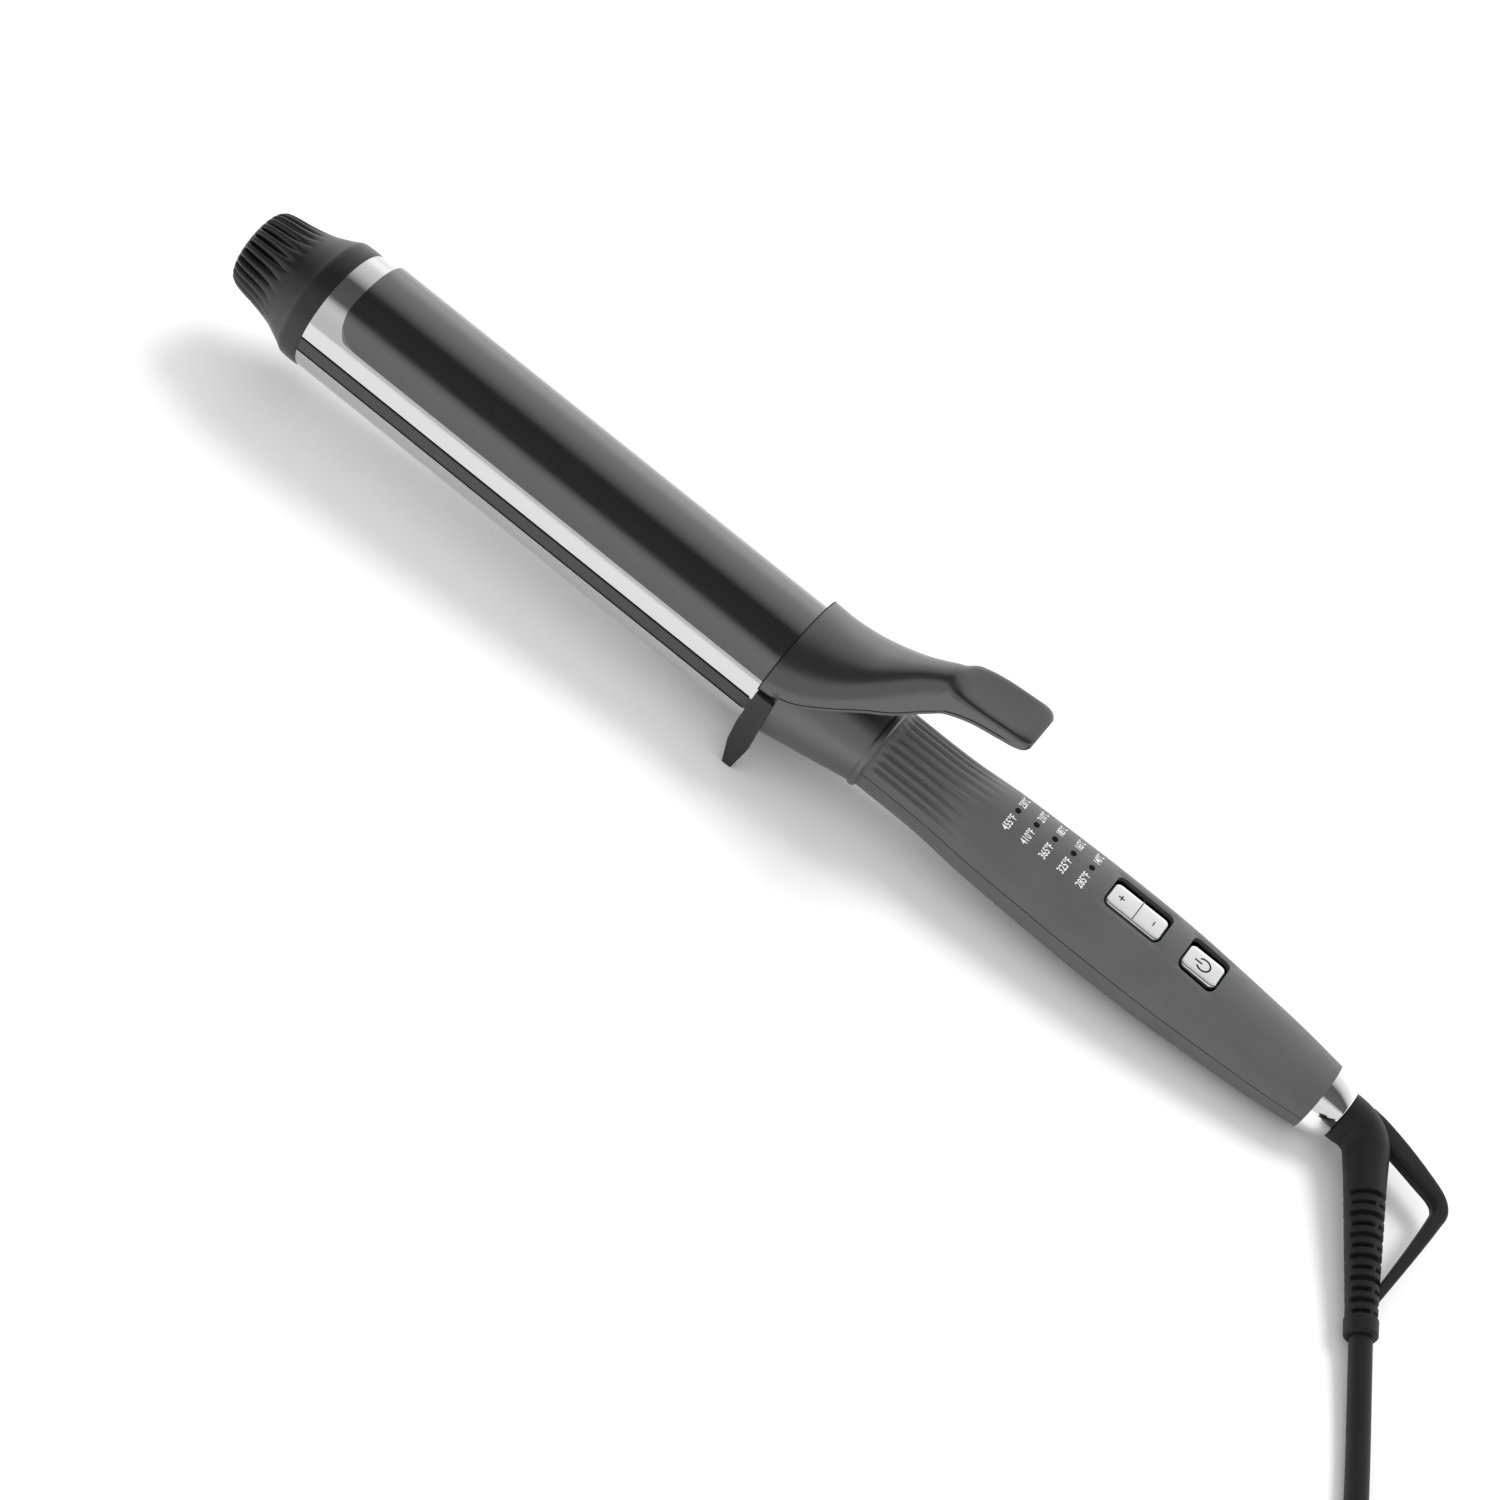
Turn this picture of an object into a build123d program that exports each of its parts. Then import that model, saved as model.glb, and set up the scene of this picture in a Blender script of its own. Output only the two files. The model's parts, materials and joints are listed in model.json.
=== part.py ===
from build123d import *
import math
import os

# Curling iron, all sizes in millimetres.
# The iron is drawn lengthwise: X runs along the barrel's axis, from the cool tip (-X) to the
# cord (+X), with x = 0 at the seam between the clamp and the thumb lever. Z points to the
# clamp's side, and the axis is at y = z = 0. At the end, every piece is pitched so that the
# stand's feet and the handle's belly rest on Z = 0, and shifted so that the origin is at the
# middle of the iron's base.

# ---- how the iron rests ----
PITCH = 3.55            # degrees the tip is raised
ORIGIN_X = -2.06        # shift along X after the pitch
ORIGIN_Z = 22.99        # height of the seam's axis over the table

# ---- barrel and cool tip ----
BARREL_R = 19.05        # 1 1/2 inch barrel
TUBE_WALL = 1.0
TUBE_FRONT = -160.4
TUBE_REAR = 0.0
TIP_END = -190.6
SPIGOT_R = BARREL_R - TUBE_WALL - 0.05
ION_DEPTH = 0.5
ION_HALF_ANGLE = 7.5

# ---- clamp and thumb lever ----
CLAMP_IN = 19.35
CLAMP_OUT = 20.45
CLAMP_FRONT = -153.2
CLAMP_EDGE_ANGLE = 28.7   # degrees above the iron's side
CLAMP_CORNER = 9.5
TAIL_LENGTH = 9.0
RIVET_R = 1.1
LUG_Y = 13.0
LUG_THICK = 1.2
# stations along the lever: x, half width, height of the side edges, height of the top, wall
LEVER_STATIONS = [
    (0.0, 20.1, 8.6, 21.7, 1.15),
    (9.0, 18.9, 9.7, 23.3, 1.6),
    (18.0, 16.0, 14.2, 27.0, 2.0),
    (26.5, 12.6, 19.4, 32.8, 2.2),
    (33.0, 10.0, 22.9, 37.8, 2.4),
    (39.0, 8.5, 28.4, 42.1, 2.6),
    (45.0, 7.5, 33.6, 44.0, 2.8),
]
PAD_START = 41.0
PAD_END = 67.8
PAD_HALF_WIDTH = 8.8

# ---- hinge and stand ----
PIN_X = 3.0
PIN_R = 2.0
FIT = 0.05                # radial clearance of a turning fit
LEG_IN = 19.45
LEG_OUT = 21.3
LEG_TOP = 8.2
FOOT_Z = -22.8

# ---- handle ----
FERRULE_END = 33.0
COLLAR_END = 35.5
HANDLE_END = 187.0
HANDLE_WALL = 2.0
HANDLE_OUTLINE = [
    (35.5, 12.75), (56.7, 12.9), (73.0, 14.0), (89.5, 14.5), (106.0, 14.85),
    (125.0, 14.85), (138.7, 14.4), (155.0, 13.4), (171.4, 12.2), (187.0, 10.5),
]
BOARD_X = (64.0, 150.0)
BOARD_HALF_WIDTH = 8.8
BOARD_TOP = 4.8
BOARD_THICK = 1.6
SCREW_X = (55.0, 153.3)
SCREW_R = 1.25
LED_X = [75.3, 81.6, 87.9, 94.2, 100.5]
LED_R = 0.9
ROCKER_X = (107.9, 127.0)
ROCKER_HALF_WIDTH = 5.0
ROCKER_TOP_R = 14.0
POWER_X = (134.0, 146.7)
POWER_HALF_WIDTH = 5.4
POWER_TOP_R = 13.5
BUTTON_GAP = 0.3          # at the ends
BUTTON_SIDE_GAP = 1.1     # at the sides, where the button sits in a well
BUTTON_BASE = 9.4
ROCKER_PIVOT = (117.45, 10.2)     # x, z
ROCKER_PIN_R = 1.0

# ---- swivel, strain relief and hang loop ----
RING_END = 194.7
SHAFT_R = 5.0
BOOT_START = 195.0
ROOT_END = 199.0          # where the boot's flared root meets its elbow
ELBOW_X = 203.7
BEND = 63.0               # degrees the boot turns towards -Y
BEND_TILT = 3.4           # degrees the bend's plane leans down
BOOT_LENGTH = 61.0        # from the elbow's corner to the end
BOOT_R = 6.0
BOOT_END_R = 4.4
LOOP_CORNER = (230.6, -4.0)
LOOP_STRAP = (3.2, 4.4)   # thickness in the loop's plane, and across it

# ---- cord, in the finished frame ----
CORD_D = 6.4
CORD_LENGTH = 2400.0
CORD_ROUTE = [
    (228.7, -54.2, 5.4), (236.9, -70.3, 4.0), (245.4, -88.0, 3.5),
    (252.4, -104.0, 3.6), (256.1, -117.0, 3.9), (256.8, -130.0, 4.1),
]
COIL_CENTRE = (301.0, -125.9)
COIL_MEAN_R = 38.0
COIL_TURNS_ACROSS = 3
COIL_FLOOR = 0.9
TIE_THICK = 0.8
TIE_WIDTH = 10.0
PLUG_SIZE = (36.0, 24.0, 16.0)
PLUG_Y = -36.0            # the plug lies across the coil, this far from its middle
BLADE = (17.5, 1.5, 6.35)
BLADE_SPACING = 12.7


# ---- helpers ----
def turned(outline):
    """A solid of revolution about the iron's axis, from closed (x, radius) points."""
    return revolve(make_face(Polyline(*outline, close=True)), Axis.X)


def arc_shell(x0, x1, r0, r1, start, sweep):
    """Part of a tube about the iron's axis. Angles run from +Y towards +Z."""
    strip = make_face(Polyline((x0, r0), (x1, r0), (x1, r1), (x0, r1), close=True))
    return Rot(X=start) * revolve(strip, Axis.X, sweep)


def block(x0, x1, y0, y1, z0, z1):
    """A box between two corners."""
    size = Box(x1 - x0, y1 - y0, z1 - z0)
    return Pos((x0 + x1) / 2, (y0 + y1) / 2, (z0 + z1) / 2) * size


def rod_x(x0, x1, y, z, r):
    return Pos((x0 + x1) / 2, y, z) * Rot(Y=90) * Cylinder(r, x1 - x0)


def rod_y(x, z, y0, y1, r):
    return Pos(x, (y0 + y1) / 2, z) * Rot(X=90) * Cylinder(r, y1 - y0)


def rod_z(x, y, z0, z1, r):
    return Pos(x, y, (z0 + z1) / 2) * Cylinder(r, z1 - z0)


def wire_along(points, bend, r):
    """A round wire with a rounded path."""
    path = FilletPolyline(*points, radius=bend)
    return sweep(Plane(origin=path @ 0, z_dir=path % 0) * Circle(r), path=path)


def group(pieces):
    """Several separate solids as one node."""
    return Compound([solid for piece in pieces for solid in piece.solids()])


def mirrored(solid):
    """The same piece on the iron's other side."""
    return mirror(solid, about=Plane.XZ)


def handle_radius(x):
    """The handle's outer radius at x, between the outline's points."""
    for (x0, r0), (x1, r1) in zip(HANDLE_OUTLINE, HANDLE_OUTLINE[1:]):
        if x0 <= x <= x1:
            return r0 + (r1 - r0) * (x - x0) / (x1 - x0)
    raise ValueError("x is off the handle")


# ---- barrel ----
def make_barrel_tube():
    tube = turned([
        (TUBE_FRONT, BARREL_R - TUBE_WALL), (TUBE_REAR, BARREL_R - TUBE_WALL),
        (TUBE_REAR, BARREL_R), (TUBE_FRONT, BARREL_R),
    ])
    for side in (0, 180):
        start = side - ION_HALF_ANGLE
        tube -= arc_shell(
            TUBE_FRONT, TUBE_REAR, BARREL_R - ION_DEPTH, BARREL_R + 1, start, 2 * ION_HALF_ANGLE
        )
    return tube


def make_ion_strip(side):
    """A strip of ion-emitting ceramic, let into the barrel's side."""
    start = side - ION_HALF_ANGLE
    inner = BARREL_R - ION_DEPTH
    return arc_shell(TUBE_FRONT, TUBE_REAR, inner, BARREL_R, start, 2 * ION_HALF_ANGLE)


def make_cool_tip():
    """A hollow bell with a rounded flange over the barrel's end, and a spigot inside it."""
    outer = [
        (TIP_END, 0), (TIP_END, 9.4), (-190.0, 11.2), (-188.5, 12.4), (-185.5, 13.2),
        (-181.5, 13.8), (-177.5, 14.6), (-173.5, 15.8), (-170.5, 17.3), (-167.5, 18.6),
        (-164.0, 19.3), (-161.2, 19.4), (TUBE_FRONT, 19.1), (TUBE_FRONT, SPIGOT_R),
        (-154.0, SPIGOT_R),
    ]
    inner = [(-154.0, 16.0), (-166.0, 16.0), (-176.0, 12.8), (-187.5, 10.6), (-187.5, 0)]
    return turned(outer + inner)


def make_disc(x0, x1, hole_r):
    return turned([(x0, hole_r), (x1, hole_r), (x1, SPIGOT_R - 0.1), (x0, SPIGOT_R - 0.1)])


def make_heat_spreader():
    """The upper half of the split aluminium shoe that carries heat to the barrel."""
    x0, x1 = -132.0, -48.0
    shell_out = SPIGOT_R - 0.05
    shoe = arc_shell(x0, x1, shell_out - 1.0, shell_out, 3, 174)
    return shoe + block(x0, x1, -17.0, 17.0, 0.8, 2.0)


def make_heater_leads():
    leads = []
    for side in (-1, 1):
        points = [
            (-53.0, side * 4, 0), (-44.0, side * 4, 0), (-26.0, side * 4, -6.5),
            (44.0, side * 6.5, -7), (60.0, side * 6.5, 1.9), (70.0, side * 6.5, 2.3),
        ]
        leads.append(wire_along(points, 3.0, 0.8))
    return group(leads)


# ---- clamp ----
def corner_cutter():
    """What is cut from the clamp's front corner, seen from above, so that it is round
    on the curved sheet."""
    reach = math.radians(90 - CLAMP_EDGE_ANGLE) * CLAMP_OUT
    points = []
    steps = 10
    for k in range(steps + 1):
        turn = math.radians(90 * k / steps)
        along = CLAMP_FRONT + CLAMP_CORNER * (1 - math.cos(turn))
        around = reach - CLAMP_CORNER * (1 - math.sin(turn))
        points.append((along, CLAMP_OUT * math.sin(around / CLAMP_OUT)))
    beyond = 2 * CLAMP_OUT
    front = CLAMP_FRONT - 1
    outline = points + [(points[-1][0], beyond), (front, beyond), (front, points[0][1])]
    return extrude(make_face(Polyline(*outline, close=True)), amount=beyond)


def make_lug():
    """A lug bent down from the clamp's tail, with an eye for the hinge pin."""
    eye_r = 4.0
    side = Plane.XZ.offset(-LUG_Y)
    eye = extrude(side * Pos(PIN_X, 0) * Circle(eye_r), amount=-LUG_THICK)
    arm = block(PIN_X - 2.4, PIN_X + 3.6, LUG_Y, LUG_Y + LUG_THICK, 0, 18)
    inside = rod_x(-10, 20, 0, 0, CLAMP_IN + 0.1)
    return (eye + arm) & inside


def make_clamp_plate():
    sweep_angle = 180 - 2 * CLAMP_EDGE_ANGLE
    tail_angle = CLAMP_EDGE_ANGLE + 11
    plate = arc_shell(CLAMP_FRONT, 0, CLAMP_IN, CLAMP_OUT, CLAMP_EDGE_ANGLE, sweep_angle)
    plate += arc_shell(0, TAIL_LENGTH, CLAMP_IN, CLAMP_OUT, tail_angle, 180 - 2 * tail_angle)
    cutter = corner_cutter()
    plate = plate - cutter - mirrored(cutter)
    lug = make_lug()
    plate = plate + lug + mirrored(lug)
    plate -= rod_y(PIN_X, 0, -30, 30, PIN_R + FIT)
    for spot in rivet_spots():
        plate -= spot * Cylinder(RIVET_R, 8)
    return plate


def rivet_spots():
    """Where the clamp's rivets stand: their local Z points out of the barrel."""
    spots = []
    for lean in (-24, 24):
        spots.append(Pos(TAIL_LENGTH / 2 + 0.5, 0, 0) * Rot(X=lean) * Pos(0, 0, CLAMP_OUT))
    return spots


def make_clamp_rivets():
    """Rivets that hold the clamp's tail in the lever, with their heads on the inside."""
    sheet = CLAMP_OUT - CLAMP_IN
    rivets = []
    for spot in rivet_spots():
        shank = Pos(0, 0, (0.6 - sheet) / 2) * Cylinder(RIVET_R, sheet + 0.6)
        head = Pos(0, 0, -sheet - 0.5) * Cylinder(2.1, 0.7)
        rivets.append(spot * (shank + head))
    return group(rivets)


def lever_section(x, half_width, edge_z, top_z, wall):
    """An arched cross-section of the thumb lever."""
    inner = half_width - wall
    outline = [
        ThreePointArc((-half_width, edge_z), (0, top_z), (half_width, edge_z)),
        Line((half_width, edge_z), (inner, edge_z)),
        ThreePointArc((inner, edge_z), (0, top_z - wall), (-inner, edge_z)),
        Line((-inner, edge_z), (-half_width, edge_z)),
    ]
    return Plane.YZ.offset(x) * make_face(outline)


def make_thumb_lever():
    """A shell that saddles the ferrule, and narrows and rises into a pad for the thumb."""
    shell = loft([lever_section(*station) for station in LEVER_STATIONS])
    side = [
        Line((PAD_START, 42.9), (PAD_END - 1, 45.5)),
        Line((PAD_END - 1, 45.5), (PAD_END, 44.3)),
        Line((PAD_END, 44.3), (PAD_END - 0.5, 42.0)),
        Spline((PAD_END - 0.5, 42.0), (59.0, 39.9), (51.0, 37.0), (PAD_START, 30.6)),
        Line((PAD_START, 30.6), (PAD_START, 42.9)),
    ]
    slab = extrude(Plane.XZ * make_face(side), amount=PAD_HALF_WIDTH, both=True)
    length = PAD_END - PAD_START + 10
    plan = Pos(PAD_END - length / 2, 0) * RectangleRounded(length, 2 * PAD_HALF_WIDTH, 3.5)
    slab &= extrude(Plane.XY * plan, amount=60)
    lever = shell + slab
    for spot in rivet_spots():
        lever -= spot * Cylinder(RIVET_R, 1.2)
    return lever


# ---- hinge, stand and spring ----
def make_hinge_pin():
    end = LEG_IN + 1.0
    return rod_y(PIN_X, 0, -end, end, PIN_R)


def make_stand_leg():
    """The leg on the +Y side: a plate that tapers to a narrow foot."""
    outline = [
        (0.3, LEG_TOP), (6.1, LEG_TOP), (6.2, 0.0), (6.8, -13.5), (5.5, FOOT_Z),
        (2.6, FOOT_Z), (0.4, -13.5), (-0.1, -5.0),
    ]
    face = Plane.XZ.offset(-LEG_IN) * make_face(Polyline(*outline, close=True))
    leg = extrude(face, amount=-(LEG_OUT - LEG_IN))
    return leg - rod_y(PIN_X, 0, 0, LEG_IN + 1.0, PIN_R)


def make_clamp_spring():
    """The torsion spring round the hinge pin, with one leg on the ferrule's floor."""
    wire_r = 0.6
    coil_r = 3.6
    pitch = 1.6
    turns = 5
    coil_path = Helix(pitch=pitch, height=pitch * turns, radius=coil_r)
    section = Plane(origin=coil_path @ 0, z_dir=coil_path % 0) * Circle(wire_r)
    coil = Pos(PIN_X, pitch * turns / 2, 0) * Rot(X=90) * sweep(section, path=coil_path)
    start_x = PIN_X + coil_r
    leg = rod_z(start_x, pitch * turns / 2, -13.0, 0.4, wire_r)
    return coil + leg


# ---- handle ----
def ferrule_radius_points():
    return [(0.0, 18.95), (3.0, 18.6), (8.0, 17.6), (20.0, 15.6), (FERRULE_END, 13.3)]


def make_ferrule():
    """The tapered sleeve between barrel and handle, open on top where the clamp's lugs move."""
    outer = ferrule_radius_points()
    wall = 2.0
    spigot_front = -10.0
    inner = [(x, r - wall) for x, r in reversed(outer)]
    outline = [(spigot_front, SPIGOT_R), (0.0, SPIGOT_R)] + outer
    outline += inner + [(spigot_front, SPIGOT_R - wall)]
    sleeve = turned(outline)
    sleeve -= block(0.4, 11.5, -14.8, 14.8, 4.0, 25.0)
    sleeve -= block(11.4, 21.0, -9.8, 9.8, 4.0, 25.0)
    sleeve -= rod_y(PIN_X, 0, -30, 30, PIN_R + FIT)
    return sleeve


def make_handle_collar():
    return turned([
        (FERRULE_END, 11.0), (COLLAR_END, 11.0), (COLLAR_END, 13.2), (COLLAR_END - 0.6, 13.8),
        (FERRULE_END + 0.8, 13.9), (FERRULE_END, 13.4),
    ])


def handle_half():
    """The upper half of the handle's shell, above the parting line."""
    outside = HANDLE_OUTLINE
    inside = [(x, r - HANDLE_WALL) for x, r in outside]
    wall = [
        Spline(*outside),
        Line(outside[-1], inside[-1]),
        Spline(*inside),
        Line(inside[0], outside[0]),
    ]
    return revolve(make_face(wall), Axis.X, 180)


def make_upper_shell():
    """The upper shell, with the openings for lights and buttons and two screw bosses."""
    shell = handle_half()
    for x in SCREW_X:
        boss = rod_z(x, 0, -4.0, handle_radius(x) - 1.2, 2.7)
        shell += boss
        shell -= rod_z(x, 0, -4.0, 4.0, SCREW_R)
    for x in LED_X:
        shell -= rod_z(x, 0, 5, 20, LED_R)
    for (x0, x1), half in ((ROCKER_X, ROCKER_HALF_WIDTH), (POWER_X, POWER_HALF_WIDTH)):
        reach = half + BUTTON_SIDE_GAP
        window = Pos((x0 + x1) / 2, 0) * RectangleRounded(x1 - x0, 2 * reach, 2.2)
        shell -= extrude(window, amount=30)
    pivot_x, pivot_z = ROCKER_PIVOT
    return shell - rod_y(pivot_x, pivot_z, -8, 8, ROCKER_PIN_R)


def make_lower_shell():
    """The lower shell, with screw posts and counterbores."""
    shell = Rot(X=180) * handle_half()
    for x in SCREW_X:
        shell += rod_z(x, 0, 1.0 - handle_radius(x), -4.0, 3.8)
        shell -= rod_z(x, 0, -20, -4.0, SCREW_R + 0.1)
        shell -= rod_z(x, 0, -20, -9.5, 2.7)
    return shell


def make_handle_screws():
    screws = []
    for x in SCREW_X:
        screws.append(rod_z(x, 0, -9.5, 3.5, SCREW_R) + rod_z(x, 0, -11.2, -9.5, 2.5))
    return group(screws)


def button_blank(x_range, half_width, top_r):
    """A button with rounded corners and a top that follows the handle."""
    x0, x1 = x_range
    length = x1 - x0 - 2 * BUTTON_GAP
    plan = Pos((x0 + x1) / 2, 0) * RectangleRounded(length, 2 * half_width, 2.0)
    blank = Pos(0, 0, BUTTON_BASE) * extrude(plan, amount=10)
    return blank & rod_x(x0, x1, 0, 0, top_r)


def make_rocker():
    """The chrome plus and minus button, with a bearing below it."""
    pivot_x, pivot_z = ROCKER_PIVOT
    rocker = button_blank(ROCKER_X, ROCKER_HALF_WIDTH, ROCKER_TOP_R)
    rocker += block(pivot_x - 2.2, pivot_x + 2.2, -4.6, 4.6, pivot_z - 2.0, BUTTON_BASE + 0.1)
    return rocker - rod_y(pivot_x, pivot_z, -8, 8, ROCKER_PIN_R + FIT)


def make_power_button():
    return button_blank(POWER_X, POWER_HALF_WIDTH, POWER_TOP_R)


def make_switches():
    """Three push switches on the board: one under each end of the rocker, one under power."""
    switches = []
    for x in (111.4, 123.4, 140.35):
        body = block(x - 2.6, x + 2.6, -2.6, 2.6, BOARD_TOP, BOARD_TOP + 2.6)
        switches.append(body + rod_z(x, 0, BOARD_TOP + 2.6, BOARD_TOP + 3.5, 1.3))
    return group(switches)


def make_leds():
    lights = []
    for x in LED_X:
        lights.append(block(x - 1.0, x + 1.0, -0.6, 0.6, BOARD_TOP, BOARD_TOP + 0.8))
    return group(lights)


def make_lenses():
    """Dark light guides from the lights to the handle's surface."""
    lenses = []
    for x in LED_X:
        guide = rod_z(x, 0, BOARD_TOP + 1.0, 20, LED_R)
        lenses.append(guide & rod_x(x - 2, x + 2, 0, 0, handle_radius(x) + 0.1))
    return group(lenses)


def make_ion_lead():
    points = [
        (70.9, -5.4, -5.6), (62.0, -5.4, -7.4), (44.0, -5.2, -8.0), (20.0, -3, -8.6),
        (-8.0, 0, -11.8),
    ]
    return wire_along(points, 4.0, 0.6)


# ---- swivel and strain relief ----
def make_end_ring():
    """The chrome ring that closes the handle, with a spigot inside the shells."""
    outline = [
        Spline((HANDLE_END, 10.5), (190.0, 10.2), (193.0, 9.4), (RING_END, 8.0)),
        Line((RING_END, 8.0), (RING_END, 6.6)),
        Line((RING_END, 6.6), (182.5, 6.6)),
        Line((182.5, 6.6), (182.5, 8.3)),
        Line((182.5, 8.3), (HANDLE_END, 8.3)),
        Line((HANDLE_END, 8.3), (HANDLE_END, 10.5)),
    ]
    return revolve(make_face(outline), Axis.X)


def make_swivel_bush():
    """The bearing that the cord's swivel turns in."""
    bore = SHAFT_R + FIT
    return turned([(172.0, bore), (182.3, bore), (182.3, 8.4), (178.0, 9.3), (172.0, 9.9)])


def make_swivel_rotor():
    """The swivel's stepped shaft, with the flange that holds it behind the bush."""
    return turned([
        (157.0, 0), (157.0, 3.0), (168.0, 3.0), (168.0, 7.0), (171.7, 7.0), (171.7, SHAFT_R),
        (BOOT_START, SHAFT_R), (BOOT_START, 0),
    ])


SLIP_RINGS = ((158.2, 160.7), (163.2, 165.7))


def make_slip_rings():
    rings = []
    for x0, x1 in SLIP_RINGS:
        rings.append(turned([(x0, 3.0), (x1, 3.0), (x1, 3.8), (x0, 3.8)]))
    return group(rings)


def make_brushes():
    """A brush on each slip ring, one on either side."""
    brushes = []
    for (x0, x1), side in zip(SLIP_RINGS, (1, -1)):
        near, far = sorted((side * (3.8 + FIT), side * 8.0))
        brushes.append(block(x0 + 0.3, x1 - 0.3, near, far, -0.6, 0.6))
    return group(brushes)


def in_bend_plane(solid):
    """Leans what is drawn flat in XY into the plane that the boot bends in."""
    return Rot(X=BEND_TILT) * solid


def boot_point(distance, off=0.0):
    """A point on the bent boot, by its distance past the elbow's corner."""
    turn = math.radians(BEND)
    x = ELBOW_X + distance * math.cos(turn) + off * math.sin(turn)
    return (x, -distance * math.sin(turn) + off * math.cos(turn))


def boot_solid():
    """The boot, drawn flat: a flared root, a tight elbow and a long tapered sleeve."""
    root = turned([
        (BOOT_START, 0), (BOOT_START, 7.4), (197.0, 7.2), (ROOT_END, BOOT_R), (ROOT_END, 0)
    ])
    sleeve_start = 8.0
    path = FilletPolyline((ROOT_END, 0), (ELBOW_X, 0), boot_point(sleeve_start), radius=7.0)
    elbow = sweep(Plane(origin=path @ 0, z_dir=path % 0) * Circle(BOOT_R), path=path)
    length = BOOT_LENGTH - sleeve_start
    direction = Vector(math.cos(math.radians(BEND)), -math.sin(math.radians(BEND)), 0)
    start = Plane(origin=boot_point(sleeve_start), z_dir=direction)
    sleeve = start * Pos(0, 0, length / 2) * Cone(BOOT_R, BOOT_END_R, length)
    collar = start * Pos(0, 0, length - 2.5) * Cylinder(BOOT_END_R + 0.4, 5)
    return root + elbow + sleeve + collar


def make_strain_relief():
    return in_bend_plane(boot_solid())


def make_hang_loop():
    """The flat strap that makes a triangle with the outside of the boot's bend."""
    thick, across = LOOP_STRAP
    corner = 5.0
    path = FilletPolyline((201.0, 5.2), LOOP_CORNER, (229.0, -41.5), radius=corner)
    section = Plane(origin=path @ 0, z_dir=path % 0) * Rectangle(across, thick)
    strap = sweep(section, path=path)
    return in_bend_plane(strap - boot_solid())


# ---- cord and plug, in the finished frame ----
def route_radii(points):
    """The largest arc that fits each corner of a route."""
    radii = []
    for before, corner, after in zip(points, points[1:], points[2:]):
        arriving = Vector(corner) - Vector(before)
        leaving = Vector(after) - Vector(corner)
        half_turn = math.radians(arriving.get_angle(leaving) / 2)
        radii.append(0.45 * min(arriving.length, leaving.length) / math.tan(half_turn))
    return radii


def make_cord():
    radii = route_radii(CORD_ROUTE)
    print("cord radii, mm:", [round(radius) for radius in radii])
    path = FilletPolyline(*CORD_ROUTE, radius=radii)
    tube = sweep(Plane(origin=path @ 0, z_dir=path % 0) * Circle(CORD_D / 2), path=path)
    section = math.pi * CORD_D ** 2 / 4
    print("cord tube, mm:", round(path.length, 1), round(tube.volume / section, 1))
    in_coil = 2 * math.pi * COIL_MEAN_R * COIL_TURNS_ACROSS ** 2
    print("cord in all, mm:", round(path.length + in_coil), "of", CORD_LENGTH)
    return tube


def coil_half_thickness():
    return CORD_D * COIL_TURNS_ACROSS / 2


def coil_place(dx, dy, dz):
    """A place counted from the middle of the coil's underside."""
    return Pos(COIL_CENTRE[0] + dx, COIL_CENTRE[1] + dy, COIL_FLOOR + dz)


def make_cord_coil():
    """The outer shape of the wound cord."""
    half = coil_half_thickness()
    ring = Cylinder(COIL_MEAN_R + half, 2 * half) - Cylinder(COIL_MEAN_R - half, 2 * half)
    ring = fillet(ring.edges().filter_by(GeomType.CIRCLE), 2.5)
    return coil_place(0, 0, half) * ring


def make_coil_tie():
    """A soft strap round the coil's section, on its far side."""
    half = coil_half_thickness()
    wide = 2 * (half + 0.5)
    high = 2 * (half + 0.05)
    strap = Box(TIE_WIDTH, wide + 2 * TIE_THICK, high + 2 * TIE_THICK)
    strap -= Box(TIE_WIDTH + 1, wide, high)
    return coil_place(0, COIL_MEAN_R, half) * strap


def plug_place():
    """The middle of the plug's body, which points along +X on top of the coil."""
    rise = 2 * coil_half_thickness() + 0.1 + PLUG_SIZE[2] / 2
    return coil_place(3.0, PLUG_Y, rise)


def make_plug_body():
    """A moulded two-blade plug with a tapered strain relief."""
    length, width, height = PLUG_SIZE
    body = fillet(Box(length, width, height).edges(), 4.0)
    relief_length = 16.0
    relief = Rot(Y=-90) * Cone(6.0, 4.4, relief_length)
    return plug_place() * (body + Pos(-(length + relief_length) / 2, 0, 0) * relief)


def make_plug_blades():
    length, thick, height = BLADE
    blades = []
    for side in (-1, 1):
        place = Pos((PLUG_SIZE[0] + length) / 2, side * BLADE_SPACING / 2, 0)
        blades.append(plug_place() * place * Box(length, thick, height))
    return group(blades)


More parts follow.
